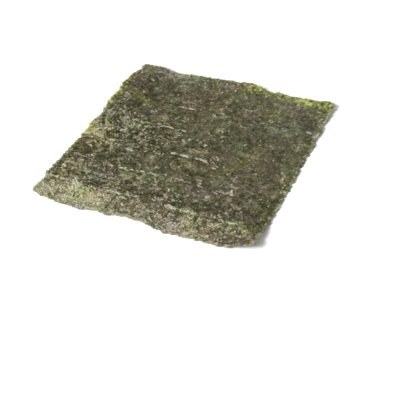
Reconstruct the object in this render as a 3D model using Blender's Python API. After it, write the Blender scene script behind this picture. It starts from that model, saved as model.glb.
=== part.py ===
"""A sheet of roasted nori: one thin, wavy leaf of pressed seaweed with a ragged edge.

Metres, +Z up, lying on z = 0. X runs along the front edge and Y away from it.
The underside is flat where the leaf touches the surface it lies on, and the
edges and corners curl up from there. The leaf is made from its underside, a
grid moved by the functions below, and then given its thickness upwards.
"""

import bmesh
import bpy
import numpy as np

# Driving dimensions
SHEET_WIDTH = 0.190
SHEET_DEPTH = 0.210
SHEET_THICKNESS = 0.0004
MM = 0.001

# Grid cells of each face
CELLS_ACROSS = 42
CELLS_ALONG = 50

# How high each edge stands, in mm, at even steps from its left or front end
FRONT_LIFT = (7.5, 3.0, 1.0, 3.5, 3.0, 0.5, 1.0, 3.0, 8.5)
BACK_LIFT = (5.0, 4.0, 2.0, 3.5, 4.5, 3.5, 1.0, 1.5, 3.5)
LEFT_LIFT = (7.5, 5.5, 4.0, 4.0, 4.0, 5.0, 6.0, 6.5, 5.0)
RIGHT_LIFT = (8.5, 3.0, 1.0, 0.5, 0.5, 0.5, 1.0, 1.5, 3.5)
FRONT_CURL = 0.022
SIDE_CURL = 0.034
BACK_CURL = 0.030

# How far each edge wanders outwards from its straight line, in mm, at even steps
FRONT_WANDER = (
    0.0, 0.5, 0.8, 0.5, 0.1, -0.4, -0.7, -0.5, -1.4, -2.2, -3.0,
    0.3, 1.4, 1.0, 0.3, 0.6, 1.0, 1.4, 0.8, -1.2, -2.0,
)
BACK_WANDER = (
    -1.4, -0.8, 0.9, -1.6, -2.4, 0.3, 1.5, -1.0, 0.4, -0.5, 0.2,
    2.9, 1.5, -0.8, 0.1, 1.9, 0.8, 0.9, -0.2, 2.2, -1.8,
)
LEFT_WANDER = (
    -1.0, -1.3, -0.5, 1.8, 2.3, 1.6, 1.4, 0.9, 0.1, 1.0, 1.9,
    0.4, 0.3, 1.7, 2.6, 1.5, 2.4, 2.7, 1.2, -2.2, 0.4,
)
RIGHT_WANDER = (-2.0, -1.6, -1.4, -1.7, -1.2, -1.4, -1.4, -1.4, -1.6, -1.0, -0.5)
WANDER_REACH = 0.030
EDGE_RAGGEDNESS = 0.0009

# The long crest behind the front edge, over which the front rolls down, in mm
CREST_LIFT = (2.0, 4.4, 3.6, 4.8, 3.4, 4.6, 3.8, 2.6)
CREST_PLACE = -0.081
CREST_SPREAD = 0.015

# Slow waves of the middle; where they would dip below the table, the leaf lies flat
WAVE_HEIGHT = 0.0026
WAVE_CELLS = (4, 5)
WAVE_LEVEL = 0.0005

# Ridges that the drying mat leaves across the sheet, and fine crumpling
RIDGE_PITCH = 0.0338
RIDGE_SHIFT = 0.0045
RIDGE_COUNT = 6
RIDGE_HEIGHT = 0.0006
RIDGE_SPREAD = 0.0022
CRUMPLE_HEIGHT = 0.0005
CRUMPLE_CELLS = (17, 19)

NORI_COLOUR = (0.128, 0.118, 0.068, 1.0)
NORI_ROUGHNESS = 0.62


def clear_scene():
    for item in list(bpy.data.objects):
        bpy.data.objects.remove(item, do_unlink=True)


def curve_through(values, along):
    """A smooth curve through evenly spaced values, read at along, from 0 to 1."""
    values = np.asarray(values, float)
    first = 2 * values[0] - values[1]
    last = 2 * values[-1] - values[-2]
    padded = np.concatenate(([first], values, [last]))
    place = np.clip(along, 0, 1) * (len(values) - 1)
    start = np.minimum(place.astype(int), len(values) - 2)
    step = place - start
    a, b, c, d = (padded[start + k] for k in range(4))
    square = 2 * a - 5 * b + 4 * c - d
    cube = 3 * b - a - 3 * c + d
    return 0.5 * (2 * b + (c - a) * step + square * step**2 + cube * step**3)


def smooth_noise(random, cells, across, along):
    """Heights from -1 to 1 drawn on a coarse lattice and eased between its points."""
    lattice = random.uniform(-1, 1, (cells[0] + 2, cells[1] + 2))
    place_u = across * cells[0]
    place_v = along * cells[1]
    u = place_u.astype(int)
    v = place_v.astype(int)
    ease_u = (place_u - u) ** 2 * (3 - 2 * (place_u - u))
    ease_v = (place_v - v) ** 2 * (3 - 2 * (place_v - v))
    near = lattice[u, v] * (1 - ease_u) + lattice[u + 1, v] * ease_u
    far = lattice[u, v + 1] * (1 - ease_u) + lattice[u + 1, v + 1] * ease_u
    return near * (1 - ease_v) + far * ease_v


def fade(distance, reach):
    """1 at an edge, easing to 0 at reach inside it."""
    left = np.clip(1 - distance / reach, 0, 1)
    return left**2 * (3 - 2 * left)


def edge_lift(across, along):
    """The four edges' curls, blended so that each corner counts once."""
    front = curve_through(FRONT_LIFT, across) * MM
    back = curve_through(BACK_LIFT, across) * MM
    left = curve_through(LEFT_LIFT, along) * MM
    right = curve_through(RIGHT_LIFT, along) * MM
    to_front = fade(along * SHEET_DEPTH, FRONT_CURL)
    to_back = fade((1 - along) * SHEET_DEPTH, BACK_CURL)
    to_left = fade(across * SHEET_WIDTH, SIDE_CURL)
    to_right = fade((1 - across) * SHEET_WIDTH, SIDE_CURL)
    edges = to_front * front + to_back * back + to_left * left + to_right * right
    corners = to_front * (to_left * FRONT_LIFT[0] + to_right * FRONT_LIFT[-1])
    corners += to_back * (to_left * BACK_LIFT[0] + to_right * BACK_LIFT[-1])
    return edges - corners * MM


def inner_height(random, across, along):
    """The crest behind the front edge and the slow waves, away from the edges."""
    y = (along - 0.5) * SHEET_DEPTH
    crest = curve_through(CREST_LIFT, across) * MM
    crest = crest * np.exp(-(((y - CREST_PLACE) / CREST_SPREAD) ** 2))
    waves = WAVE_LEVEL + WAVE_HEIGHT * smooth_noise(random, WAVE_CELLS, across, along)
    return crest + waves


def ridge_height(random, across, along):
    """Broken straight ridges along X, one every RIDGE_PITCH."""
    y = (along - 0.5) * SHEET_DEPTH
    total = np.zeros_like(y)
    for number in range(RIDGE_COUNT):
        middle = (number - (RIDGE_COUNT - 1) / 2) * RIDGE_PITCH + RIDGE_SHIFT
        strength = 0.6 + 0.4 * smooth_noise(random, (9, 1), across, along)
        total += strength * np.exp(-(((y - middle) / RIDGE_SPREAD) ** 2))
    return RIDGE_HEIGHT * total


def underside_points():
    """The underside's grid points, as arrays of one row for each step along Y."""
    random = np.random.default_rng(1921)
    steps_u = np.linspace(0, 1, CELLS_ACROSS + 1)
    steps_v = np.linspace(0, 1, CELLS_ALONG + 1)
    across, along = np.meshgrid(steps_u, steps_v)

    inner = inner_height(random, across, along)
    border = np.minimum(across, 1 - across) * SHEET_WIDTH
    border = np.minimum(border, (1 - along) * SHEET_DEPTH)
    inner *= 1 - fade(border, SIDE_CURL)
    inner *= 1 - fade(along * SHEET_DEPTH, FRONT_CURL)
    height = edge_lift(across, along) + inner
    height += ridge_height(random, across, along)
    height += CRUMPLE_HEIGHT * smooth_noise(random, CRUMPLE_CELLS, across, along)
    z = np.maximum(height, 0)

    ragged = EDGE_RAGGEDNESS * random.uniform(-1, 1, (4,) + across.shape)
    x = (across - 0.5) * SHEET_WIDTH
    y = (along - 0.5) * SHEET_DEPTH
    left = curve_through(LEFT_WANDER, along) * MM + ragged[0]
    right = curve_through(RIGHT_WANDER, along) * MM + ragged[1]
    front = curve_through(FRONT_WANDER, across) * MM + ragged[2]
    back = curve_through(BACK_WANDER, across) * MM + ragged[3]
    new_x = x - left * fade(across * SHEET_WIDTH, WANDER_REACH)
    new_x += right * fade((1 - across) * SHEET_WIDTH, WANDER_REACH)
    new_y = y - front * fade(along * SHEET_DEPTH, WANDER_REACH)
    new_y += back * fade((1 - along) * SHEET_DEPTH, WANDER_REACH)
    new_x -= (new_x.min() + new_x.max()) / 2
    new_y -= (new_y.min() + new_y.max()) / 2
    return np.stack((new_x, new_y, z), axis=-1).reshape(-1, 3)


def nori_material():
    material = bpy.data.materials.new("nori")
    material.use_nodes = True
    shader = material.node_tree.nodes["Principled BSDF"]
    shader.inputs["Base Color"].default_value = NORI_COLOUR
    shader.inputs["Roughness"].default_value = NORI_ROUGHNESS
    shader.inputs["Metallic"].default_value = 0.0
    material.diffuse_color = NORI_COLOUR
    return material


def make_nori_sheet():
    """A grid moved to the underside's points, split into triangles and thickened."""
    grid = bmesh.new()
    bmesh.ops.create_grid(grid, x_segments=CELLS_ACROSS, y_segments=CELLS_ALONG, size=0.5)
    for vert, point in zip(grid.verts, underside_points()):
        vert.co = point
    bmesh.ops.triangulate(grid, faces=grid.faces[:], quad_method="FIXED")
    bmesh.ops.recalc_face_normals(grid, faces=grid.faces[:])
    if sum(face.normal.z for face in grid.faces) < 0:
        bmesh.ops.reverse_faces(grid, faces=grid.faces[:])
    mesh = bpy.data.meshes.new("nori_sheet")
    grid.to_mesh(mesh)
    grid.free()

    sheet = bpy.data.objects.new("nori_sheet", mesh)
    bpy.context.scene.collection.objects.link(sheet)
    mesh.materials.append(nori_material())
    mesh.shade_smooth()
    solidify = sheet.modifiers.new("thickness", "SOLIDIFY")
    solidify.thickness = SHEET_THICKNESS
    solidify.offset = 1.0
    solidify.use_even_offset = False
    return sheet


clear_scene()
make_nori_sheet()
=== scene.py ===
import math

import bpy
import numpy as np
from mathutils import Matrix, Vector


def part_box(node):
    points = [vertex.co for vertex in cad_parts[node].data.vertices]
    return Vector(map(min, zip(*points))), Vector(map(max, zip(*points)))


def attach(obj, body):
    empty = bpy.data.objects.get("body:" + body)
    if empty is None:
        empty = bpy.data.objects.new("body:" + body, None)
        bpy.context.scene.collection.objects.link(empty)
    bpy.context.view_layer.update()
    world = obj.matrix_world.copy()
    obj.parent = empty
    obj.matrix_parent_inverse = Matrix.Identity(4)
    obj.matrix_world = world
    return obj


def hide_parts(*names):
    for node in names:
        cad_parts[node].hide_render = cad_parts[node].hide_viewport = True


mm = 0.001
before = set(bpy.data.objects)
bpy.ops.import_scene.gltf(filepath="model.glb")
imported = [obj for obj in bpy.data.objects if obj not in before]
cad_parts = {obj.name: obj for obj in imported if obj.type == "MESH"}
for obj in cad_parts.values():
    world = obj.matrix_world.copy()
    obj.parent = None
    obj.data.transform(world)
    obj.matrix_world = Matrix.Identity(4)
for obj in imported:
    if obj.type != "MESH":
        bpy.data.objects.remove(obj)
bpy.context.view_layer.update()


# The leaf, whose slow form is the solid's own. Lifts and wanders are in mm at even steps along an
# edge, from its left or front end. "thinnest" is the least share of the thickness that is left
leaf = {
    "width": 0.190,
    "depth": 0.210,
    "thickness": 0.40 * mm,
    "thinnest": 0.55,
    "cellsAcross": 210,
    "cellsAlong": 232,
    "seed": 1921,
    "frontLift": (7.5, 3.0, 1.0, 3.5, 3.0, 0.5, 1.0, 3.0, 8.5),
    "backLift": (5.0, 4.0, 2.0, 3.5, 4.5, 3.5, 1.0, 1.5, 3.5),
    "leftLift": (7.5, 5.5, 4.0, 4.0, 4.0, 5.0, 6.0, 6.5, 5.0),
    "rightLift": (8.5, 3.0, 1.0, 0.5, 0.5, 0.5, 1.0, 1.5, 3.5),
    "frontCurl": 0.022,
    "sideCurl": 0.034,
    "backCurl": 0.030,
    "frontWander": (
        0.0, 0.5, 0.8, 0.5, 0.1, -0.4, -0.7, -0.5, -1.4, -2.2, -3.0,
        0.3, 1.4, 1.0, 0.3, 0.6, 1.0, 1.4, 0.8, -1.2, -2.0,
    ),
    "backWander": (
        -1.4, -0.8, 0.9, -1.6, -2.4, 0.3, 1.5, -1.0, 0.4, -0.5, 0.2,
        2.9, 1.5, -0.8, 0.1, 1.9, 0.8, 0.9, -0.2, 2.2, -1.8,
    ),
    "leftWander": (
        -1.0, -1.3, -0.5, 1.8, 2.3, 1.6, 1.4, 0.9, 0.1, 1.0, 1.9,
        0.4, 0.3, 1.7, 2.6, 1.5, 2.4, 2.7, 1.2, -2.2, 0.4,
    ),
    "rightWander": (-2.0, -1.6, -1.4, -1.7, -1.2, -1.4, -1.4, -1.4, -1.6, -1.0, -0.5),
    "wanderReach": 0.030,
    "crestLift": (2.0, 4.4, 3.6, 4.8, 3.4, 4.6, 3.8, 2.6),
    "crestPlace": -0.081,
    "crestSpread": 0.015,
    "waveHeight": 0.0026,
    "waveCells": (4, 5),
    "waveLevel": 0.0005,
    "ridgePitch": 0.0338,
    "ridgeShift": 0.0045,
    "ridgeCount": 6,
    "ridgeHeight": 0.0006,
    "ridgeSpread": 0.0022,
    "ridgeLevel": 0.6,
    "ridgeSwing": 0.4,
    "ridgeCells": (9, 1),
    "crumpleHeight": 0.0005,
    "crumpleCells": (17, 19),
}

# Relief finer than the solid's: (wavelength, height, creased or not) of each layer, in mm, and how
# far each is turned. Its height, within "creaseRange" in mm, also lightens the felt and the flakes,
# in stops for each mm, the felt within "feltTone": painted light on the high places and painted
# shade in the low ones. "clear" is how far the felt stays off the table
relief = {
    "layers": ((14.0, 0.26, 0), (6.5, 0.22, 1), (3.4, 0.22, 1), (2.0, 0.16, 0)),
    "turn": 0.61,
    "creased": 0.6,
    "creaseLevel": 0.04,
    "creaseRange": (-0.75, 0.55),
    "feltTone": (-1.2, 0.9),
    # Painted light on the relief's high places and painted shade in its low ones, in stops for each
    # mm, on the felt and on the flakes
    "creaseShading": 1.35,
    "flakeShading": 0.95,
    "ragged": ((11.0, 0.60), (4.2, 0.70), (2.1, 0.60), (1.0, 0.45)),
    "raggedReach": 0.005,
    "clear": 0.03 * mm,
    "seed": 37,
}

# Press lines: a sharper crest on the solid's ridges, in dashes, lightened by a painted highlight
# where light catches the crest ("tone") and darkened just in front of it by a painted shadow
# ("shade", which lies "shadeStep" further forward). Each stretch of dashes: the ridge's number from
# the front, where it starts and ends along X in mm, and strength. "aside" is how far, in mm, each
# line lies behind the middle of its ridge. "broken" is the level of a stretch, then the swing of its
# dashes and of its dots, each with what is added in a short, sure stretch
pressLines = {
    "aside": (-1.8, 0.8, -1.2, 1.0, 0.7, 0.0),
    "stretches": (
        (0, -94, -68, 0.9),
        (0, -45, 22, 0.7),
        (0, 26, 43, 0.8),
        (0, 55, 76, 1.1),
        (1, -92, -74, 0.5),
        (1, -71, -48, 0.9),
        (1, -47, -40, 1.6),
        (1, -38, -23, 1.9),
        (1, -20, -12, 1.6),
        (1, 5, 17, 1.6),
        (1, 19, 34, 0.7),
        (1, 40, 64, 1.2),
        (2, -88, -62, 0.8),
        (2, -16, -7, 1.7),
        (2, -6, 3, 1.7),
        (2, 8, 20, 1.7),
        (3, -68, -58, 1.2),
        (3, -54, -45, 1.0),
        (3, -40, -27, 1.9),
        (3, -23, -15, 1.3),
        (4, -92, -80, 0.4),
        (4, -56, -44, 0.4),
        (4, -37, -30, 1.4),
        (4, -28, -20, 1.4),
        (4, 84, 91, 0.8),
    ),
    "ends": 2.5,
    "spread": 0.0012,
    "wobble": 0.45,
    "wobbleCells": (40, 1),
    "height": 0.00038,
    # "tone" paints a highlight on the crests, "shade" a shadow just in front of them
    "tone": 1.9,
    "shade": 1.3,
    "shadeStep": 0.0016,
    "dash": 3.6,
    "sureBelow": 10,
    "looseFrom": 18,
    "broken": ((0.50, 0.45), (2.2, -1.5), (1.4, -0.7)),
    "seed": 71,
}


def curveThrough(values, along):
    # Catmull-Rom: each stretch is the cubic through its two values whose slopes are the mean steps
    # there. along is 0 at the first value and 1 at the last
    values = np.asarray(values, float)
    first = 2 * values[0] - values[1]
    last = 2 * values[-1] - values[-2]
    padded = np.concatenate(([first], values, [last]))
    place = np.clip(along, 0, 1) * (len(values) - 1)
    start = np.minimum(place.astype(int), len(values) - 2)
    step = place - start
    a, b, c, d = (padded[start + k] for k in range(4))
    square = 2 * a - 5 * b + 4 * c - d
    cube = 3 * b - a - 3 * c + d
    return 0.5 * (2 * b + (c - a) * step + square * step**2 + cube * step**3)


def latticeNoise(random, cells, across, along):
    # Random values on a lattice, eased between its points by t * t * (3 - 2t) both ways
    lattice = random.uniform(-1, 1, (cells[0] + 2, cells[1] + 2))
    placeU = np.clip(across, 0, 1) * cells[0]
    placeV = np.clip(along, 0, 1) * cells[1]
    u = placeU.astype(int)
    v = placeV.astype(int)
    easeU = (placeU - u) ** 2 * (3 - 2 * (placeU - u))
    easeV = (placeV - v) ** 2 * (3 - 2 * (placeV - v))
    near = lattice[u, v] * (1 - easeU) + lattice[u + 1, v] * easeU
    far = lattice[u, v + 1] * (1 - easeU) + lattice[u + 1, v + 1] * easeU
    return near * (1 - easeV) + far * easeV


def feltNoise(random, pitch, turn, x, y):
    # The same noise on a lattice of one pitch, turned by an angle so that no line of it shows. The
    # lattice reaches past the leaf's corners
    reach = 0.16
    count = int(2 * reach / pitch)
    u = (x * math.cos(turn) - y * math.sin(turn)) / (2 * reach) + 0.5
    v = (x * math.sin(turn) + y * math.cos(turn)) / (2 * reach) + 0.5
    return latticeNoise(random, (count, count), u, v)


def fade(distance, reach):
    # 1 at an edge, easing to 0 at reach inside it
    left = np.clip(1 - distance / reach, 0, 1)
    return left**2 * (3 - 2 * left)


def slowForm(across, along):
    # The solid's own underside: edge curls blended so that a corner counts once, then the crest, the
    # waves, a bell curve for each ridge and the crumpling
    random = np.random.default_rng(leaf["seed"])
    depth = leaf["depth"]
    width = leaf["width"]
    y = (along - 0.5) * depth
    crest = curveThrough(leaf["crestLift"], across) * mm
    crest = crest * np.exp(-(((y - leaf["crestPlace"]) / leaf["crestSpread"]) ** 2))
    waves = latticeNoise(random, leaf["waveCells"], across, along)
    inner = crest + leaf["waveLevel"] + leaf["waveHeight"] * waves
    border = np.minimum(np.minimum(across, 1 - across) * width, (1 - along) * depth)
    inner = inner * (1 - fade(border, leaf["sideCurl"]))
    inner = inner * (1 - fade(along * depth, leaf["frontCurl"]))

    front = curveThrough(leaf["frontLift"], across)
    back = curveThrough(leaf["backLift"], across)
    left = curveThrough(leaf["leftLift"], along)
    right = curveThrough(leaf["rightLift"], along)
    toFront = fade(along * depth, leaf["frontCurl"])
    toBack = fade((1 - along) * depth, leaf["backCurl"])
    toLeft = fade(across * width, leaf["sideCurl"])
    toRight = fade((1 - across) * width, leaf["sideCurl"])
    edges = toFront * front + toBack * back + toLeft * left + toRight * right
    edges = edges - toFront * (toLeft * leaf["frontLift"][0] + toRight * leaf["frontLift"][-1])
    edges = edges - toBack * (toLeft * leaf["backLift"][0] + toRight * leaf["backLift"][-1])

    ridges = np.zeros_like(y)
    for number in range(leaf["ridgeCount"]):
        middle = ridgeMiddle(number)
        swing = leaf["ridgeSwing"] * latticeNoise(random, leaf["ridgeCells"], across, along)
        bell = np.exp(-(((y - middle) / leaf["ridgeSpread"]) ** 2))
        ridges = ridges + (leaf["ridgeLevel"] + swing) * bell
    crumple = latticeNoise(random, leaf["crumpleCells"], across, along)
    return edges * mm + inner + leaf["ridgeHeight"] * ridges + leaf["crumpleHeight"] * crumple


def edgeOut(random, values, along, length, inside):
    # An edge's wander, felt far in, plus ragged noise of each wavelength, felt only near the edge
    wander = curveThrough(values, along) * mm
    ragged = np.zeros_like(along)
    for wavelength, height in relief["ragged"]:
        cells = (int(length / (wavelength * mm)), 1)
        ragged = ragged + height * mm * latticeNoise(random, cells, along, np.zeros_like(along))
    return wander * fade(inside, leaf["wanderReach"]) + ragged * fade(inside, relief["raggedReach"])


def outline(across, along):
    # A flat point of the rectangle pushed out by its edges, less and less towards the middle
    random = np.random.default_rng(relief["seed"])
    width = leaf["width"]
    depth = leaf["depth"]
    x = (across - 0.5) * width
    y = (along - 0.5) * depth
    x = x - edgeOut(random, leaf["leftWander"], along, depth, across * width)
    x = x + edgeOut(random, leaf["rightWander"], along, depth, (1 - across) * width)
    y = y - edgeOut(random, leaf["frontWander"], across, width, along * depth)
    y = y + edgeOut(random, leaf["backWander"], across, width, (1 - along) * depth)
    return x, y


def ridgeMiddle(number):
    return (number - (leaf["ridgeCount"] - 1) / 2) * leaf["ridgePitch"] + leaf["ridgeShift"]


def lineMiddle(number):
    # The middle of a press line, for one ridge's number or a whole array of them
    return ridgeMiddle(number) + np.take(pressLines["aside"], np.asarray(number, int)) * mm


def pressLine(across, along):
    # 1 on the crest of each ridge, falling off as a bell curve, times the dashes along it, which are
    # surer where a stretch is short: level + swing * dashes + swing * dots, kept from 0 to 1
    random = np.random.default_rng(pressLines["seed"])
    loose = pressLines["looseFrom"]
    reach = loose - pressLines["sureBelow"]
    x = (across - 0.5) * leaf["width"] / mm
    y = (along - 0.5) * leaf["depth"]
    pieces = int(leaf["width"] / mm / pressLines["dash"])
    total = np.zeros_like(y)
    for number, start, end, strength in pressLines["stretches"]:
        flat = np.zeros_like(y)
        wobble = latticeNoise(random, pressLines["wobbleCells"], across, flat)
        middle = lineMiddle(number) + pressLines["wobble"] * mm * wobble
        dashes = latticeNoise(random, (pieces, 1), across, flat)
        dots = latticeNoise(random, (3 * pieces, 1), across, flat)
        ends = np.clip(np.minimum(x - start, end - x) / pressLines["ends"], 0, 1)
        sure = min(max((loose - (end - start)) / reach, 0.0), 1.0)
        level, dashSwing, dotSwing = (first + more * sure for first, more in pressLines["broken"])
        here = strength * ends * np.clip(level + dashSwing * dashes + dotSwing * dots, 0, 1)
        total = total + here * np.exp(-(((y - middle) / pressLines["spread"]) ** 2))
    return total


def fineRelief(x, y):
    # Noise layers summed, each on a lattice turned further than the last. A creased one is a level
    # less twice the noise's size, which leaves sharp crests
    random = np.random.default_rng(relief["seed"] + 1)
    total = np.zeros_like(x)
    for number, (wavelength, height, creased) in enumerate(relief["layers"]):
        turn = relief["turn"] * (number + 1)
        noise = feltNoise(random, wavelength * mm, turn, x, y)
        if creased:
            noise = relief["creased"] - 2 * np.abs(noise)
        total = total + height * mm * noise
    return total


def bells(places, x, y):
    # Sum of bell curves: x and y of the middle, reach along x and along y, all in mm, and strength
    total = np.zeros_like(x)
    for placeX, placeY, reachX, reachY, strength in places:
        distance = ((x / mm - placeX) / reachX) ** 2 + ((y / mm - placeY) / reachY) ** 2
        total = total + strength * np.exp(-distance)
    return total


def shiftToSolid():
    # How far along X and Y the outline moves for its box to have the solid's middle
    steps = np.linspace(0, 1, 400)
    start = np.zeros_like(steps)
    end = np.ones_like(steps)
    across = np.concatenate((steps, steps, start, end))
    x, y = outline(across, np.concatenate((start, end, steps, steps)))
    low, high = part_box("nori_sheet")
    return (low.x + high.x - x.min() - x.max()) / 2, (low.y + high.y - y.min() - y.max()) / 2


leafShift = shiftToSolid()


def leafPoint(across, along, side):
    # A point of the leaf's upper (side 1) or lower (side 0) face, just clear of the table: slow form
    # plus fine relief, and above that the thickness and the press lines
    x, y = outline(across, along)
    fine = fineRelief(x, y)
    slow = np.maximum(slowForm(across, along), 0)
    z = np.maximum(slow + fine, relief["clear"])
    if side:
        least = z + leaf["thinnest"] * leaf["thickness"]
        z = np.maximum(slow + leaf["thickness"] + fine, least)
        z = z + pressLines["height"] * pressLine(across, along)
    return x + leafShift[0], y + leafShift[1], z


def meshOf(name, points, faces, uv=None):
    # An object from arrays of points, faces and, for each face's corners in turn, places on the map
    mesh = bpy.data.meshes.new(name)
    mesh.from_pydata(points.tolist(), [], faces.tolist())
    if uv is not None:
        layer = mesh.uv_layers.new(name="OFBake")
        layer.uv.foreach_set("vector", uv.astype(np.float32).ravel())
    mesh.validate()
    mesh.update()
    piece = bpy.data.objects.new(name, mesh)
    bpy.context.scene.collection.objects.link(piece)
    return piece


def pointColour(piece, name, values):
    # One number for each vertex, for the material to read
    attribute = piece.data.attributes.new(name, "FLOAT", "POINT")
    attribute.data.foreach_set("value", np.asarray(values, np.float32))


# Where the upper face is lighter or darker (in stops), browner (greener below 0), more mixed or
# yellower, where pale flecks gather, and where light shows yellow-green through the thin rim. Lighter
# and darker
# are mostly painted light and shade: a lit band along the curled front, a lit left side and shaded
# places, with some of the leaf's own uneven tone. More mixed is partly painted light, more contrast
# where light catches the relief. The pale flecks are painted glints and the rim's colour is painted
# light.
# Each bell: x, y, reach along x, reach along y in mm, strength
fields = {
    # Painted light and shade, with some of the leaf's own uneven tone: a lit band along the curled
    # front, a lit left side and darker, shaded places
    "lightAndShade": (
        (-10, -102, 160, 12, 0.60),
        (-20, -86, 130, 9, 0.25),
        (-68, -99, 34, 15, 0.88),
        (-82, -84, 12, 8, -0.45),
        (-58, -84, 12, 8, 0.45),
        (-12, -85, 14, 8, -0.40),
        (37, -100, 14, 8, 0.95),
        (-58, -69, 13, 7, 0.65),
        (34, -54, 12, 7, 0.30),
        (-34, -99, 12, 20, -0.30),
        (-56, -60, 44, 13, 0.55),
        (-84, -11, 15, 7, 1.75),
        (-80, 21, 22, 9, 1.10),
        (-60, 6, 26, 9, 0.20),
        (-50, -24, 34, 9, 0.25),
        (-9, -48.5, 10, 4.5, 1.30),
        (-34, 80, 20, 10, -0.35),
        (-52, 51, 22, 8, 0.25),
        (70, 96, 50, 18, 0.60),
        (84, 66, 24, 20, 0.20),
        (22, 101, 14, 8, 0.30),
        (-8, 99, 16, 8, -0.35),
        (-64, 99, 40, 10, 0.95),
        (-94, -103, 12, 9, 0.90),
        (-78, 63, 28, 14, -0.45),
        (74, -58, 26, 28, -0.20),
        (12, -20, 18, 14, -0.22),
        (34, -84, 14, 8, -0.35),
    ),
    "browner": (
        (-84, -66, 14, 44, 0.12),
        (-82, -70, 13, 9, 0.09),
        (-58, -48, 14, 52, -0.05),
        (-14, 72, 22, 22, 0.09),
        (52, 70, 44, 34, -0.06),
        (57, -24, 17, 44, 0.07),
        (50, -98, 52, 12, 0.13),
        (10, 98, 22, 10, 0.08),
        (-20, -88, 50, 16, 0.06),
        (-60, -101, 14, 10, -0.03),
        (-58, -84, 14, 8, 0.10),
    ),
    "mixedUpper": 0.84,
    "mixedLower": 1.2,
    # Partly painted light: more contrast at the left and the front, where light catches the relief
    # most, less at the right
    "mixed": (
        (-74, -2, 54, 34, 1.2),
        (-20, -70, 120, 24, 0.7),
        (66, 40, 50, 56, -0.25),
        (0, 84, 90, 24, -0.15),
    ),
    # Where the pale flecks, painted glints, gather
    "glints": ((-70, -6, 46, 26, 1.4), (-10, -92, 150, 18, 1.1), (-60, -80, 50, 22, 0.7)),
    "paleBase": 0.12,
    "paleOnLines": 3,
    "paleFull": 2,
    "yellower": (
        (-84, -16, 14, 14, 0.75),
        (-56, -90, 26, 13, 0.40),
        (-40, 90, 36, 15, -0.60),
        (70, 51, 24, 12, -0.55),
        (62, -52, 26, 30, -0.30),
    ),
    # Painted light shining yellow-green through the thin rim, strongest in these patches
    "rim": (
        (78, 101, 20, 9, 1.20),
        (50, 104, 22, 7, 1.00),
        (22, 103, 18, 10, 1.05),
        (-95, 54, 5, 34, 0.75),
        (-93, -12, 8, 14, 0.70),
        (-95, -100, 8, 6, 0.5),
    ),
    "rimEverywhere": 0.44,
    "rimDepth": 0.003,
    "rimInside": 0.7,
    "rimAtEdge": 0.6,
}


def shadeAt(across, along, x, y, side):
    # Lightness in stops, mostly painted light and shade, and how mixed it is: the fields and the
    # press lines' painted highlights and shadows above, plain below
    if not side:
        return np.zeros_like(x), np.full_like(x, fields["mixedLower"])
    # A painted highlight on each press line's crest, less a painted shadow just in front of it
    before = pressLine(across, along + pressLines["shadeStep"] / leaf["depth"])
    lines = pressLines["tone"] * pressLine(across, along) - pressLines["shade"] * before
    mixed = fields["mixedUpper"] + bells(fields["mixed"], x, y)
    return bells(fields["lightAndShade"], x, y) + lines, mixed


def creaseAt(x, y):
    # How high the fine relief stands, in mm, kept to what lightens or darkens the felt: painted light
    # on the high places, painted shade in the low ones
    height = fineRelief(x - leafShift[0], y - leafShift[1]) / mm
    return np.clip(height + relief["creaseLevel"], *relief["creaseRange"])


def rimStrength(across, along, x, y):
    # How much painted light shows yellow-green through the thin rim: nearness to an edge, falling off
    # exponentially inwards, plus the fields' own patches, which are strongest at the very edge
    insideX = np.minimum(across, 1 - across) * leaf["width"]
    insideY = np.minimum(along, 1 - along) * leaf["depth"]
    near = np.exp(-np.maximum(np.minimum(insideX, insideY), 0) / fields["rimDepth"])
    patches = (fields["rimInside"] + fields["rimAtEdge"] * near) * bells(fields["rim"], x, y)
    return fields["rimEverywhere"] * near + patches


def huesAt(x, y):
    # The fields that move the colour itself, by the name of the attribute that carries each
    return {name: bells(fields[name], x, y) for name in ("browner", "yellower")}


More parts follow.
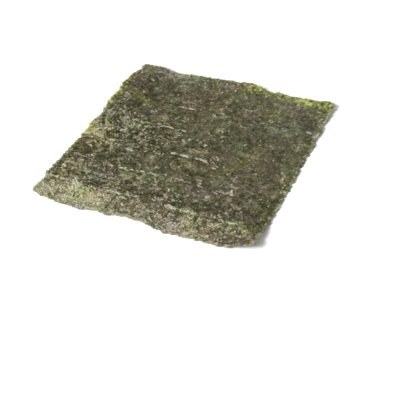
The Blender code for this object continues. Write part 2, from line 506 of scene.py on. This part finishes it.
def makeLeaf():
    # Two grids, one for each face, and a strip of quads round the rim between them. On the map the
    # upper face lies at the left, the lower one at the right and the strip along the top
    faceSize = (0.49, 0.97)
    lowerStart = (0.51, 0.0)
    stripStart = 0.98
    columns = leaf["cellsAcross"] + 1
    rows = leaf["cellsAlong"] + 1
    across, along = np.meshgrid(np.linspace(0, 1, columns), np.linspace(0, 1, rows))
    across = across.ravel()
    along = along.ravel()
    upper = np.stack(leafPoint(across, along, 1), axis=1)
    lower = np.stack(leafPoint(across, along, 0), axis=1)
    points = np.concatenate((upper, lower))
    count = len(across)

    index = np.arange(count).reshape(rows, columns)
    quads = np.stack((index[:-1, :-1], index[:-1, 1:], index[1:, 1:], index[1:, :-1]), axis=-1)
    quads = quads.reshape(-1, 4)
    ring = np.concatenate((index[0, :-1], index[:-1, -1], index[-1, :0:-1], index[:0:-1, 0]))
    after = np.roll(ring, -1)
    wall = np.stack((ring + count, after + count, after, ring), axis=1)
    faces = np.concatenate((quads, quads[:, ::-1] + count, wall))

    flat = np.stack((across, along), axis=1)
    upperMap = flat[quads] * faceSize
    lowerMap = flat[quads[:, ::-1]] * faceSize + lowerStart
    share = np.arange(len(ring) + 1) / len(ring)
    foot = np.full(len(ring), stripStart)
    head = np.ones(len(ring))
    stripU = np.stack((share[:-1], share[1:], share[1:], share[:-1]), axis=1)
    stripV = np.stack((foot, foot, head, head), axis=1)
    stripMap = np.stack((stripU, stripV), axis=2)
    uv = np.concatenate([part.reshape(-1, 2) for part in (upperMap, lowerMap, stripMap)])
    piece = meshOf("felted_leaf", points, faces, uv)
    piece.data.shade_smooth()
    x, y = upper[:, 0], upper[:, 1]
    rim = rimStrength(across, along, x, y)
    # The relief's painted light on high places and painted shade in low ones
    reliefShading = relief["creaseShading"] * creaseAt(x, y)
    tones = []
    mixes = []
    for side in (1, 0):
        lightAndShade, mixed = shadeAt(across, along, x, y, side)
        tones.append(lightAndShade + (2 * side - 1) * np.clip(reliefShading * mixed, *relief["feltTone"]))
        mixes.append(mixed)
    pointColour(piece, "rim", np.concatenate((rim, rim)))
    pointColour(piece, "tone", np.concatenate(tones))
    pointColour(piece, "mixed", np.concatenate(mixes))
    for name, values in huesAt(x, y).items():
        pointColour(piece, name, np.concatenate((values, values)))
    return piece


# Flakes and strands pressed into the faces: how many, length, width and thickness in mm, how high
# they stand, how much flakes tilt or strands curl, tone in stops, share on the upper face, how far
# they follow the field of pale flecks, and how much, in radians, they are turned off the X axis. At
# the edges: how far in or out they start, in metres, and how far they fan out, in radians
greenFlakes = {
    "count": 10500,
    "length": (1.4, 5.0),
    "width": (0.8, 2.1),
    "lift": (-0.12, 0.22),
    "tilt": 0.34,
    "thickness": 0.12,
    "tone": (-0.75, 0.6),
    "topShare": 0.66,
    "gather": 0.0,
    "lean": 0.6,
    "seed": 51,
}
brownFlakes = {
    "count": 8500,
    "length": (1.4, 5.0),
    "width": (0.8, 2.0),
    "lift": (-0.14, 0.20),
    "tilt": 0.34,
    "thickness": 0.12,
    "tone": (-1.1, 0.4),
    "topShare": 0.66,
    "gather": 0.0,
    "lean": 0.6,
    "seed": 52,
}
# Pale flecks: their pale colour is painted glints, light caught on wrinkled flake edges
glintFlecks = {
    "count": 4400,
    "length": (1.5, 5.8),
    "width": (0.85, 2.2),
    "lift": (0.02, 0.26),
    "tilt": 0.34,
    "thickness": 0.12,
    "tone": (-0.85, 0.45),
    "topShare": 0.72,
    "gather": 0.95,
    "lean": 0.6,
    "seed": 53,
}
edgeWisps = {
    "count": 4800,
    "length": (0.9, 4.6),
    "width": (0.35, 1.2),
    "lift": (-0.25, 0.10),
    "tilt": 0.40,
    "thickness": 0.14,
    "tone": (-0.6, 0.9),
    "inset": 0.0006,
    "fan": 0.75,
    "seed": 54,
}
strands = {
    "count": 800,
    "length": (2.6, 8.0),
    "width": (0.50, 1.00),
    "lift": (0.02, 0.14),
    "curl": 0.7,
    "thickness": 0.16,
    "tone": (-0.9, 0.5),
    "topShare": 0.75,
    "gather": 0.9,
    "lean": 0.7,
    "seed": 55,
}
# Strands along the press lines, which carry the lines' painted highlight
lineStrands = {
    "count": 1500,
    "aside": 0.50,
    "length": (1.6, 4.8),
    "width": (0.50, 1.00),
    "lift": (0.02, 0.16),
    "curl": 0.8,
    "thickness": 0.18,
    "tone": (-0.7, 0.6),
    "lean": 0.35,
    "seed": 56,
}
edgeThreads = {
    "count": 2600,
    "length": (1.4, 5.2),
    "width": (0.22, 0.45),
    "lift": (-0.12, 0.08),
    "curl": 0.9,
    "thickness": 0.10,
    "tone": (0.0, 1.3),
    "inset": 0.0006,
    "fan": 0.75,
    "seed": 57,
}

# The form that all flakes share: corners of the ring, how far each is turned and moved in or out,
# how rare long ones are, how much they bend, how rough they are, in mm, and their reach on the map
flakeForm = {
    "corners": 7,
    "turned": 0.25,
    "radius": (0.68, 1.12),
    "rarity": 1.7,
    "bend": 0.5,
    "rough": 0.03,
    "mapReach": 0.36,
}

# The form that all strands share: sections along one, its least curl in radians, its width at the
# tips and what the middle adds, how round its outline is, the section's three corners, sideways and
# upwards, and their reach and rows on the map
strandForm = {
    "sections": 7,
    "leastCurl": 0.05,
    "tip": 0.25,
    "swell": 0.75,
    "round": 0.99,
    "sideways": (-1.0, 1.0, 0.0),
    "upwards": (-0.3, -0.3, 1.0),
    "mapReach": 0.44,
    "mapRows": (0.2, 0.8, 0.5),
}

# How flakes and strands are scattered: how far in from the edges, as a share of the leaf, how many
# spots are tried for each, and how much straighter they lie on a press line
scatter = {"margin": 0.004, "tries": 4, "straighter": 0.8}


def mapSquares(count):
    # The lower left corners of as many squares as there are shapes, in rows, and the squares in a row
    side = int(math.ceil(math.sqrt(count)))
    return np.stack((np.arange(count) % side, np.arange(count) // side), axis=1), side


def shapeValues(spec, random, across, along, x, y, side, copies):
    # What the material reads, the same at all points of a shape. Tone: the leaf's lightness, painted
    # light and shade, plus mixed * (relief, painted light on its high places and painted shade in its
    # low ones, + a tone of its own)
    lightAndShade, mixed = shadeAt(across, along, x, y, side)
    reliefShading = (2 * side - 1) * relief["flakeShading"] * creaseAt(x, y)
    tone = lightAndShade + mixed * (reliefShading + random.uniform(*spec["tone"], len(x)))
    values = {"tone": tone, "mixed": mixed, "rim": rimStrength(across, along, x, y)}
    values.update(huesAt(x, y))
    return {name: np.repeat(value, copies) for name, value in values.items()}


def lensFlakes(spec, across, along, heading, side):
    # Each flake is a closed lens: a ring of points on an ellipse, drawn up to one middle point and
    # down to another. Its height is lift + tilt along and across it + bend * (1 - u * u) +
    # roughness. Pressed on the table it keeps a little thickness
    random = np.random.default_rng(spec["seed"] + 7)
    corners = flakeForm["corners"]
    count = len(across)
    shortest, longest = spec["length"]
    longer = random.uniform(0, 1, count) ** flakeForm["rarity"]
    length = (shortest + (longest - shortest) * longer) * mm / 2
    width = random.uniform(*spec["width"], count) * mm / 2
    lift = random.uniform(*spec["lift"], count) * mm
    tilt = random.normal(0, spec["tilt"], (2, count))
    bend = random.uniform(-flakeForm["bend"], flakeForm["bend"], count) * spec["tilt"]
    angle = np.arange(corners) * 2 * math.pi / corners
    turned = random.uniform(-flakeForm["turned"], flakeForm["turned"], (count, corners))
    angle = angle + turned
    radius = random.uniform(*flakeForm["radius"], (count, corners))
    u = np.concatenate((radius * np.cos(angle), np.zeros((count, 2))), axis=1)
    v = np.concatenate((radius * np.sin(angle), np.zeros((count, 2))), axis=1)
    alongFlake = u * length[:, None]
    acrossFlake = v * width[:, None]
    cosine = np.cos(heading)[:, None]
    sine = np.sin(heading)[:, None]
    moveX = alongFlake * cosine - acrossFlake * sine
    moveY = alongFlake * sine + acrossFlake * cosine
    x, y, z = leafPoint(
        across[:, None] + moveX / leaf["width"], along[:, None] + moveY / leaf["depth"], side
    )
    height = lift[:, None] + tilt[0][:, None] * alongFlake + tilt[1][:, None] * acrossFlake
    height = height + bend[:, None] * length[:, None] * (1 - u**2)
    rough = random.normal(0, flakeForm["rough"] * mm, height.shape)
    rough[:, -1] = rough[:, -2]
    height = height + rough
    half = spec["thickness"] * mm / 2
    height[:, -2] += half
    height[:, -1] -= half
    lowest = np.zeros(corners + 2)
    lowest[-2 if side else -1] = relief["clear"]
    z = np.maximum(z + (2 * side - 1) * height, lowest)

    start = (np.arange(count) * (corners + 2))[:, None]
    ring = np.arange(corners)[None, :]
    following = (ring + 1) % corners
    peak = np.broadcast_to(start + corners, (count, corners))
    upward = np.stack((start + ring, start + following, peak), axis=2)
    downward = np.stack((start + following, start + ring, peak + 1), axis=2)
    faces = np.concatenate((upward, downward), axis=1)
    if not side:
        faces = faces[:, :, ::-1]
    faces = faces.reshape(-1, 3)

    square, squares = mapSquares(count)
    spot = np.stack((u, v), axis=2) * flakeForm["mapReach"] + 0.5
    spot = (square[:, None, :] + spot) / squares
    uv = spot.reshape(-1, 2)[faces].reshape(-1, 2)
    points = np.stack((x, y, z), axis=2).reshape(-1, 3)
    values = shapeValues(spec, random, across, along, x[:, -1], y[:, -1], side, corners + 2)
    return points, faces, uv, values


def joinFlakes(name, parts):
    # The parts' arrays end to end, their squares of the map side by side
    points = []
    faces = []
    maps = []
    offset = 0
    for number, (partPoints, partFaces, uv, values) in enumerate(parts):
        points.append(partPoints)
        faces.append(partFaces + offset)
        maps.append((uv + (number, 0)) / (len(parts), 1))
        offset += len(partPoints)
    piece = meshOf(name, np.concatenate(points), np.concatenate(faces), np.concatenate(maps))
    for key in parts[0][3]:
        pointColour(piece, key, np.concatenate([part[3][key] for part in parts]))
    return piece


def scatterFlakes(name, spec, shapeOf):
    # Flakes at random over both faces, turned any way; on the upper one, spots that the field of pale
    # flecks, painted glints, and the press lines leave bare are dropped with a chance of "gather"
    random = np.random.default_rng(spec["seed"])
    parts = []
    for side, share in ((1, spec["topShare"]), (0, 1 - spec["topShare"])):
        count = int(spec["count"] * share)
        margin = scatter["margin"]
        shape = (3, count * scatter["tries"])
        across, along, chance = random.uniform(margin, 1 - margin, shape)
        if side:
            x, y = outline(across, along)
            wanted = fields["paleBase"] + bells(fields["glints"], x, y)
            wanted = wanted + fields["paleOnLines"] * pressLine(across, along)
            rich = np.minimum(wanted / fields["paleFull"], 1)
            kept = chance < 1 - spec["gather"] + spec["gather"] * rich
            across, along = across[kept], along[kept]
        across, along = across[:count], along[:count]
        heading = random.normal(0, spec["lean"], len(across))
        heading = heading * (1 - scatter["straighter"] * np.minimum(pressLine(across, along), 1))
        parts.append(shapeOf(spec, across, along, heading, side))
    return joinFlakes(name, parts)


def strandTubes(spec, across, along, heading, side):
    # Each strand is an arc of a circle laid on the leaf, sin(curl * t) / curl along it and
    # (1 - cos(curl * t)) / curl across it for t from -1 to 1, with a three-cornered section that
    # narrows to both ends. Each end is closed with one triangle
    random = np.random.default_rng(spec["seed"] + 7)
    sections = strandForm["sections"]
    least = strandForm["leastCurl"]
    count = len(across)
    half = random.uniform(*spec["length"], count)[:, None] * mm / 2
    width = random.uniform(*spec["width"], count)[:, None, None] * mm / 2
    curl = random.normal(0, spec["curl"], count)[:, None]
    curl = np.where(np.abs(curl) < least, least, curl)
    step = np.linspace(-1, 1, sections)[None, :]
    alongArc = np.sin(curl * step) / curl * half
    acrossArc = (1 - np.cos(curl * step)) / curl * half
    cosine = np.cos(heading)[:, None]
    sine = np.sin(heading)[:, None]
    middleX = alongArc * cosine - acrossArc * sine
    middleY = alongArc * sine + acrossArc * cosine
    turn = (heading[:, None] + curl * step)[:, :, None]
    swell = np.sqrt(1 - step**2 * strandForm["round"])
    taper = (strandForm["tip"] + strandForm["swell"] * swell)[:, :, None]
    sideways = np.array(strandForm["sideways"]) * width * taper
    upwards = np.array(strandForm["upwards"]) * spec["thickness"] * mm * taper
    moveX = middleX[:, :, None] - sideways * np.sin(turn)
    moveY = middleY[:, :, None] + sideways * np.cos(turn)
    movedAcross = across[:, None, None] + moveX / leaf["width"]
    movedAlong = along[:, None, None] + moveY / leaf["depth"]
    x, y, z = leafPoint(movedAcross, movedAlong, side)
    lift = random.uniform(*spec["lift"], count)[:, None, None] * mm
    lowest = np.array((0.0, 0.0, 1.0) if side else (1.0, 1.0, 0.0)) * relief["clear"]
    z = np.maximum(z + (2 * side - 1) * (lift + upwards), lowest)

    start = (np.arange(count) * sections * 3)[:, None, None]
    row = np.arange(sections - 1)[None, :, None] * 3
    corner = np.arange(3)[None, None, :]
    here = start + row + corner
    beside = start + row + (corner + 1) % 3
    quads = np.stack((here, here + 3, beside + 3, beside), axis=3).reshape(count, -1, 4)
    sides = np.concatenate((quads[:, :, (0, 1, 2)], quads[:, :, (0, 2, 3)]), axis=1)
    first = start[:, 0, :] + np.array((0, 1, 2))
    last = first[:, ::-1] + (sections - 1) * 3
    faces = np.concatenate((sides, first[:, None, :], last[:, None, :]), axis=1)
    if side:
        faces = faces[:, :, ::-1]
    faces = faces.reshape(-1, 3)

    square, squares = mapSquares(count)
    u = np.broadcast_to(step[:, :, None] * strandForm["mapReach"] + 0.5, x.shape)
    v = np.broadcast_to(np.array(strandForm["mapRows"]), x.shape)
    spot = (square[:, None, None, :] + np.stack((u, v), axis=3)) / squares
    uv = spot.reshape(-1, 2)[faces].reshape(-1, 2)
    points = np.stack((x, y, z), axis=3).reshape(-1, 3)
    middle = sections // 2
    x, y = x[:, middle, 2], y[:, middle, 2]
    values = shapeValues(spec, random, across, along, x, y, side, sections * 3)
    return points, faces, uv, values


def lineUp(name, spec):
    # Strands laid along the press lines: as many for each millimetre of every stretch, fewer where
    # its dashes are weak
    random = np.random.default_rng(spec["seed"])
    stretches = np.array(pressLines["stretches"], float)
    lengths = stretches[:, 2] - stretches[:, 1]
    chosen = random.choice(len(stretches), spec["count"], p=lengths / lengths.sum())
    number, start, end, _ = stretches[chosen].T
    across = random.uniform(start, end) * mm / leaf["width"] + 0.5
    aside = random.normal(0, spec["aside"] * mm, spec["count"])
    along = (lineMiddle(number) + aside) / leaf["depth"] + 0.5
    kept = random.uniform(0, 1, spec["count"]) < pressLine(across, along)
    across, along = across[kept], along[kept]
    heading = random.normal(0, spec["lean"], len(across))
    return joinFlakes(name, [strandTubes(spec, across, along, heading, 1)])


def frayEdges(name, spec, shapeOf):
    # Wisps or threads along all four edges, each pointing out of the leaf, fanned out at random
    random = np.random.default_rng(spec["seed"])
    count = spec["count"]
    place = random.uniform(0, 1, count)
    edge = random.integers(0, 4, count)
    inset = random.uniform(-spec["inset"], spec["inset"], count)
    across = np.select([edge == 0, edge == 1], [place, place], 0.0)
    across = np.where(edge == 2, inset / leaf["width"], across)
    across = np.where(edge == 3, 1 - inset / leaf["width"], across)
    along = np.select([edge == 2, edge == 3], [place, place], 0.0)
    along = np.where(edge == 0, inset / leaf["depth"], along)
    along = np.where(edge == 1, 1 - inset / leaf["depth"], along)
    outward = np.take((-math.pi / 2, math.pi / 2, math.pi, 0.0), edge)
    heading = outward + random.normal(0, spec["fan"], count)
    return joinFlakes(name, [shapeOf(spec, across, along, heading, 1)])


class Wire:
    # An output socket that Python's signs work on: each sign adds one Math node
    def __init__(self, paint, socket):
        self.paint = paint
        self.socket = socket

    def math(self, operation, *others):
        values = dict(enumerate((self, *others)))
        return self.paint.node("ShaderNodeMath", {"operation": operation}, values)

    def __add__(self, other):
        return self.math("ADD", other)

    def __radd__(self, other):
        return self.math("ADD", other)

    def __sub__(self, other):
        return self.math("SUBTRACT", other)

    def __rsub__(self, other):
        return self.paint.node("ShaderNodeMath", {"operation": "SUBTRACT"}, {0: other, 1: self})

    def __mul__(self, other):
        return self.math("MULTIPLY", other)

    def __rmul__(self, other):
        return self.math("MULTIPLY", other)

    def __truediv__(self, other):
        return self.math("DIVIDE", other)

    def __pow__(self, other):
        return self.math("POWER", other)

    def __rpow__(self, other):
        return self.paint.node("ShaderNodeMath", {"operation": "POWER"}, {0: other, 1: self})

    def between(self, low, high):
        # 0 below low, 1 above high, eased between
        settings = {"interpolation_type": "SMOOTHSTEP"}
        values = {"Value": self, "From Min": low, "From Max": high}
        return self.paint.node("ShaderNodeMapRange", settings, values)


class Paint:
    # One material's nodes
    def __init__(self, name):
        self.material = bpy.data.materials.new(name)
        self.material.use_nodes = True
        self.tree = self.material.node_tree
        self.shader = self.tree.nodes["Principled BSDF"]
        self.place = self.node("ShaderNodeTexCoord", {}, {}, "Object")

    def node(self, kind, settings, values, output=0):
        made = self.tree.nodes.new(kind)
        for key, value in settings.items():
            setattr(made, key, value)
        for key, value in values.items():
            self.plug(made.inputs[key], value)
        return Wire(self, made.outputs[output])

    def plug(self, socket, value):
        if isinstance(value, Wire):
            self.tree.links.new(value.socket, socket)
        else:
            socket.default_value = value

    def noise(self, size, detail, roughness):
        # Noise whose blotches are about size metres across
        values = {"Vector": self.place, "Scale": 1 / size, "Detail": detail, "Roughness": roughness}
        return self.node("ShaderNodeTexNoise", {"noise_dimensions": "3D"}, values, "Fac")

    def mix(self, factor, a, b, blend="MIX"):
        settings = {"data_type": "RGBA", "blend_type": blend}
        a = a if isinstance(a, Wire) else (*a, 1.0)
        b = b if isinstance(b, Wire) else (*b, 1.0)
        return self.node("ShaderNodeMix", settings, {0: factor, 6: a, 7: b}, 2)

    def scaled(self, colour, factor):
        values = {"Vector": colour, "Scale": factor}
        return self.node("ShaderNodeVectorMath", {"operation": "SCALE"}, values)

    def attribute(self, name):
        return self.node("ShaderNodeAttribute", {"attribute_name": name}, {}, "Fac")

    def finish(self, values):
        for key, value in values.items():
            self.plug(self.shader.inputs[key], value)
        return self.material


# Colours of the seaweed, as linear albedo at tone 0. "brownFrom" and the like: where each colour
# starts and where it is full. "warpScale" and "warpReach" bend the borders of the flake cells
seaweed = {
    "deep": (0.090, 0.074, 0.0205),
    "green": (0.0755, 0.080, 0.0410),
    "brown": (0.096, 0.079, 0.0445),
    "violet": (0.080, 0.071, 0.056),
    "yellow": (0.089, 0.085, 0.033),
    # Cream and sage are painted glints, the colour that high stops turn to
    "cream": (0.31, 0.295, 0.222),
    "sage": (0.28, 0.288, 0.198),
    # The rim's colours: painted light shining through the thin rim
    "rim": (0.235, 0.268, 0.066),
    "rimBrown": (0.265, 0.247, 0.072),
    "cool": (0.985, 0.99, 1.25),
    "warm": (1.01, 1.0, 0.75),
    "tone": 0.20,
    "brownLevel": 0.100,
    "brownFrom": (0.40, 0.60),
    "violetFrom": (0.60, 0.72),
    "yellowFrom": (0.60, 0.78),
    "bodyFrom": (-2.0, 0.4),
    "creamReach": 0.9,
    "warmFrom": (-1.0, 1.0),
    "tintSwing": 1.3,
    "rimBrownFrom": (0.50, 0.66),
    "rimFrom": (0.10, 1.3),
    "rimLevel": 2.2,
    "rimSwing": 0.35,
    "rimTone": -0.5,
    "cells": 0.0021,
    "warpScale": 420.0,
    "warpReach": (0.0016, 0.0016, 0.0016),
    "rough": (0.38, 0.70),
    "sheen": 0.2,
    "bump": 0.0005,
    "bumpStrength": 0.9,
}

# Its noises: size in metres, detail and roughness of each
noises = {
    "grain": (0.0010, 3.0, 0.6),
    "clump": (0.0045, 2.0, 0.5),
    "blotch": (0.010, 3.0, 0.55),
    "patch": (0.032, 2.0, 0.5),
    "hue": (0.020, 2.0, 0.5),
    "spot": (0.009, 1.0, 0.5),
    "tint": (0.016, 2.0, 0.5),
}

# How much of each pattern goes into the fine and the broad tone in stops, the lean to brown, the rim
# and the height of the bump
shares = {
    "fineTone": {"cell": 0.8, "grain": 1.6, "clump": 3.2},
    "broadTone": {"blotch": 2.8, "patch": 1.6},
    "brown": {"hue": 0.70, "spot": 0.45, "hueCell": 0.03},
    "rim": {"grain": 2.0, "cell": 0.8, "clump": 3.2},
    "height": {"grain": 0.6, "cell": 0.4},
}

# What sets each piece's finish apart: tone in stops, lean to brown, and the stops that turn cream,
# the painted glint colour
finishes = {
    # The felt's lower tone darkens it where it shows between the flakes: painted shade in the gaps
    "nori_felt": {"tone": -0.45, "brown": 0.0, "cream": 1.4},
    "nori_green_flake": {"tone": 0.0, "brown": -0.015, "cream": 1.4},
    "nori_brown_flake": {"tone": -0.1, "brown": 0.018, "cream": 1.5},
    "nori_glint_fleck": {"tone": 0.50, "brown": 0.0, "cream": 1.0},
    "nori_strand": {"tone": 0.40, "brown": 0.0, "cream": 1.1},
    "nori_wisp": {"tone": 0.50, "brown": 0.0, "cream": 1.2},
}


def weighted(patterns, kind, middle=0.0):
    # Sum of share * (pattern - middle) over one kind's patterns
    total = 0.0
    for name, share in shares[kind].items():
        total = total + (patterns[name] - middle) * share
    return total


def seaweedMaterial(name):
    # Stops: tone attribute, which carries painted light and shade, plus mixed attribute times the
    # fine tone (flake cells, grain and clumps), plus the broad tone (blotches and patches). Albedo:
    # green, brown, violet and yellow by noises, deep where the stops are low, times 2 to the stops,
    # then towards sage or cream, painted glints, where they are high, tinted warmer or cooler by one
    # more noise, and last the rim's colour, painted light through the thin rim, by its attribute
    finish = finishes[name]
    paint = Paint(name)
    values = {"Vector": paint.place, "Scale": seaweed["warpScale"]}
    warp = paint.node("ShaderNodeTexNoise", {}, values, "Color")
    values = {0: warp, 1: seaweed["warpReach"], 2: paint.place}
    bent = paint.node("ShaderNodeVectorMath", {"operation": "MULTIPLY_ADD"}, values)
    values = {"Vector": bent, "Scale": 1 / seaweed["cells"]}
    cells = paint.node("ShaderNodeTexVoronoi", {}, values, "Color")
    patterns = {key: paint.noise(*noise) for key, noise in noises.items()}
    patterns["cell"] = paint.node("ShaderNodeSeparateColor", {}, {"Color": cells}, 0)
    patterns["hueCell"] = paint.node("ShaderNodeSeparateColor", {}, {"Color": cells}, 1)

    halfTone = finish["tone"] * 0.5
    fine = weighted(patterns, "fineTone", 0.5)
    stops = paint.attribute("tone") + paint.attribute("mixed") * (fine + halfTone)
    stops = stops + weighted(patterns, "broadTone", 0.5) + (seaweed["tone"] + halfTone)
    brown = weighted(patterns, "brown") + (finish["brown"] - seaweed["brownLevel"])
    brown = brown + paint.attribute("browner")
    browned = brown.between(*seaweed["brownFrom"])
    body = paint.mix(browned, seaweed["green"], seaweed["brown"])
    hue = patterns["hue"]
    spot = patterns["spot"]
    violet = (spot + hue - patterns["blotch"]).between(*seaweed["violetFrom"])
    body = paint.mix(violet, body, seaweed["violet"])
    yellow = (spot - hue + patterns["patch"]).between(*seaweed["yellowFrom"])
    body = paint.mix(yellow, body, seaweed["yellow"])
    body = paint.mix(stops.between(*seaweed["bodyFrom"]), seaweed["deep"], body)
    body = paint.scaled(body, 2 ** stops)
    # Sage to cream: painted glints where the stops are high
    glints = paint.mix(browned, seaweed["sage"], seaweed["cream"])
    creamFrom = finish["cream"] - seaweed["creamReach"]
    creamTo = finish["cream"] + seaweed["creamReach"]
    body = paint.mix(stops.between(creamFrom, creamTo), body, glints)
    warmth = paint.attribute("yellower") + (patterns["tint"] - 0.5) * seaweed["tintSwing"]
    warmth = warmth.between(*seaweed["warmFrom"])
    body = paint.mix(1.0, body, paint.mix(warmth, seaweed["cool"], seaweed["warm"]), "MULTIPLY")

    # The rim's colour, painted light shining through the thin edge, mixed in by the rim attribute
    rimLight = paint.attribute("rim")
    rim = rimLight * (weighted(patterns, "rim") - seaweed["rimLevel"])
    browned = brown.between(*seaweed["rimBrownFrom"])
    rimColour = paint.mix(browned, seaweed["rim"], seaweed["rimBrown"])
    rimStops = fine + rimLight * seaweed["rimSwing"] + seaweed["rimTone"]
    rimColour = paint.scaled(rimColour, 2 ** rimStops)
    body = paint.mix(rim.between(*seaweed["rimFrom"]), body, rimColour)

    smoothest, roughest = seaweed["rough"]
    values = {
        "Strength": seaweed["bumpStrength"],
        "Distance": seaweed["bump"],
        "Height": weighted(patterns, "height"),
    }
    return paint.finish(
        {
            "Base Color": body,
            "Roughness": patterns["grain"] * (roughest - smoothest) + smoothest,
            "Specular IOR Level": seaweed["sheen"],
            "Normal": paint.node("ShaderNodeBump", {}, values, "Normal"),
        }
    )


def dress(piece, material):
    # The finish, the body it moves with and the solid it stands for
    piece.data.materials.append(bpy.data.materials.get(material) or seaweedMaterial(material))
    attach(piece, "root")
    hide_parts("nori_sheet")
    print(piece.name, len(piece.data.polygons), "faces")


# The table top and the light
studio = {
    "floorSide": 6.0,
    "floorLevel": -0.00005,
    "floorColour": (0.90, 0.90, 0.90),
    "floorRoughness": 0.9,
    "skyColour": (1.0, 1.0, 1.0),
    "skyStrength": 0.55,
    "keyPower": 46.0,
    "keySize": 0.7,
    "keyAzimuth": -28.0,
    "keyElevation": 36.0,
    "keyDistance": 1.6,
}


def aim(item, place, right, up, back):
    # A camera or lamp looks along -back, with up upwards
    turned = np.eye(4)
    turned[:3] = np.stack((right, up, back, place), axis=1)
    item.matrix_world = Matrix(turned)


def viewAxes(azimuth, elevation, roll):
    # The way back to the viewer from azimuth and elevation, then right and up square to it, turned
    # by roll
    turn = math.radians(azimuth)
    rise = math.radians(elevation)
    back = np.array(
        (math.sin(turn) * math.cos(rise), -math.cos(turn) * math.cos(rise), math.sin(rise))
    )
    right = np.cross((0.0, 0.0, 1.0), back)
    right = right / np.linalg.norm(right)
    up = np.cross(back, right)
    spin = math.radians(roll)
    turnedRight = right * math.cos(spin) + up * math.sin(spin)
    turnedUp = up * math.cos(spin) - right * math.sin(spin)
    return turnedRight, turnedUp, back


def makeFloor():
    side = studio["floorSide"] / 2
    corners = ((-side, -side), (side, -side), (side, side), (-side, side))
    points = np.array([(x, y, studio["floorLevel"]) for x, y in corners])
    floor = meshOf("table_top", points, np.array(((0, 1, 2, 3),)))
    paint = Paint("pale_table")
    colour = (*studio["floorColour"], 1.0)
    paint.finish({"Base Color": colour, "Roughness": studio["floorRoughness"]})
    floor.data.materials.append(paint.material)


def makeLight():
    world = bpy.data.worlds.new("sky")
    world.use_nodes = True
    background = world.node_tree.nodes["Background"]
    background.inputs["Color"].default_value = (*studio["skyColour"], 1.0)
    background.inputs["Strength"].default_value = studio["skyStrength"]
    bpy.context.scene.world = world
    data = bpy.data.lights.new("key", "AREA")
    data.shape = "DISK"
    data.size = studio["keySize"]
    data.energy = studio["keyPower"]
    lamp = bpy.data.objects.new("key", data)
    bpy.context.scene.collection.objects.link(lamp)
    right, up, back = viewAxes(studio["keyAzimuth"], studio["keyElevation"], 0.0)
    aim(lamp, back * studio["keyDistance"], right, up, back)


# The photograph's viewpoint, fitted to the leaf's four corners
viewpoint = {
    "azimuth": 24.094,
    "elevation": 39.473,
    "roll": -1.796,
    "distance": 0.8114,
    "right": 0.0063,
    "up": -0.0430,
    "focalPixels": 947.4,
    "imagePixels": 400,
}


def makeCamera():
    right, up, back = viewAxes(viewpoint["azimuth"], viewpoint["elevation"], viewpoint["roll"])
    data = bpy.data.cameras.new("camera")
    data.lens = data.sensor_width * viewpoint["focalPixels"] / viewpoint["imagePixels"]
    camera = bpy.data.objects.new("camera", data)
    bpy.context.scene.collection.objects.link(camera)
    eye = back * viewpoint["distance"] + right * viewpoint["right"] + up * viewpoint["up"]
    eye = eye + np.array((*leafShift, 0.0))
    aim(camera, eye, right, up, back)
    bpy.context.scene.camera = camera


makeCamera()
makeFloor()
makeLight()
print("camera, floor and light placed")
dress(makeLeaf(), "nori_felt")
dress(scatterFlakes("green_flakes", greenFlakes, lensFlakes), "nori_green_flake")
dress(scatterFlakes("brown_flakes", brownFlakes, lensFlakes), "nori_brown_flake")
dress(scatterFlakes("glint_flecks", glintFlecks, lensFlakes), "nori_glint_fleck")
dress(scatterFlakes("curled_strands", strands, strandTubes), "nori_strand")
dress(lineUp("press_line_strands", lineStrands), "nori_strand")
dress(frayEdges("edge_wisps", edgeWisps, lensFlakes), "nori_wisp")
dress(frayEdges("edge_threads", edgeThreads, strandTubes), "nori_wisp")
bpy.context.scene.view_settings.view_transform = "Standard"
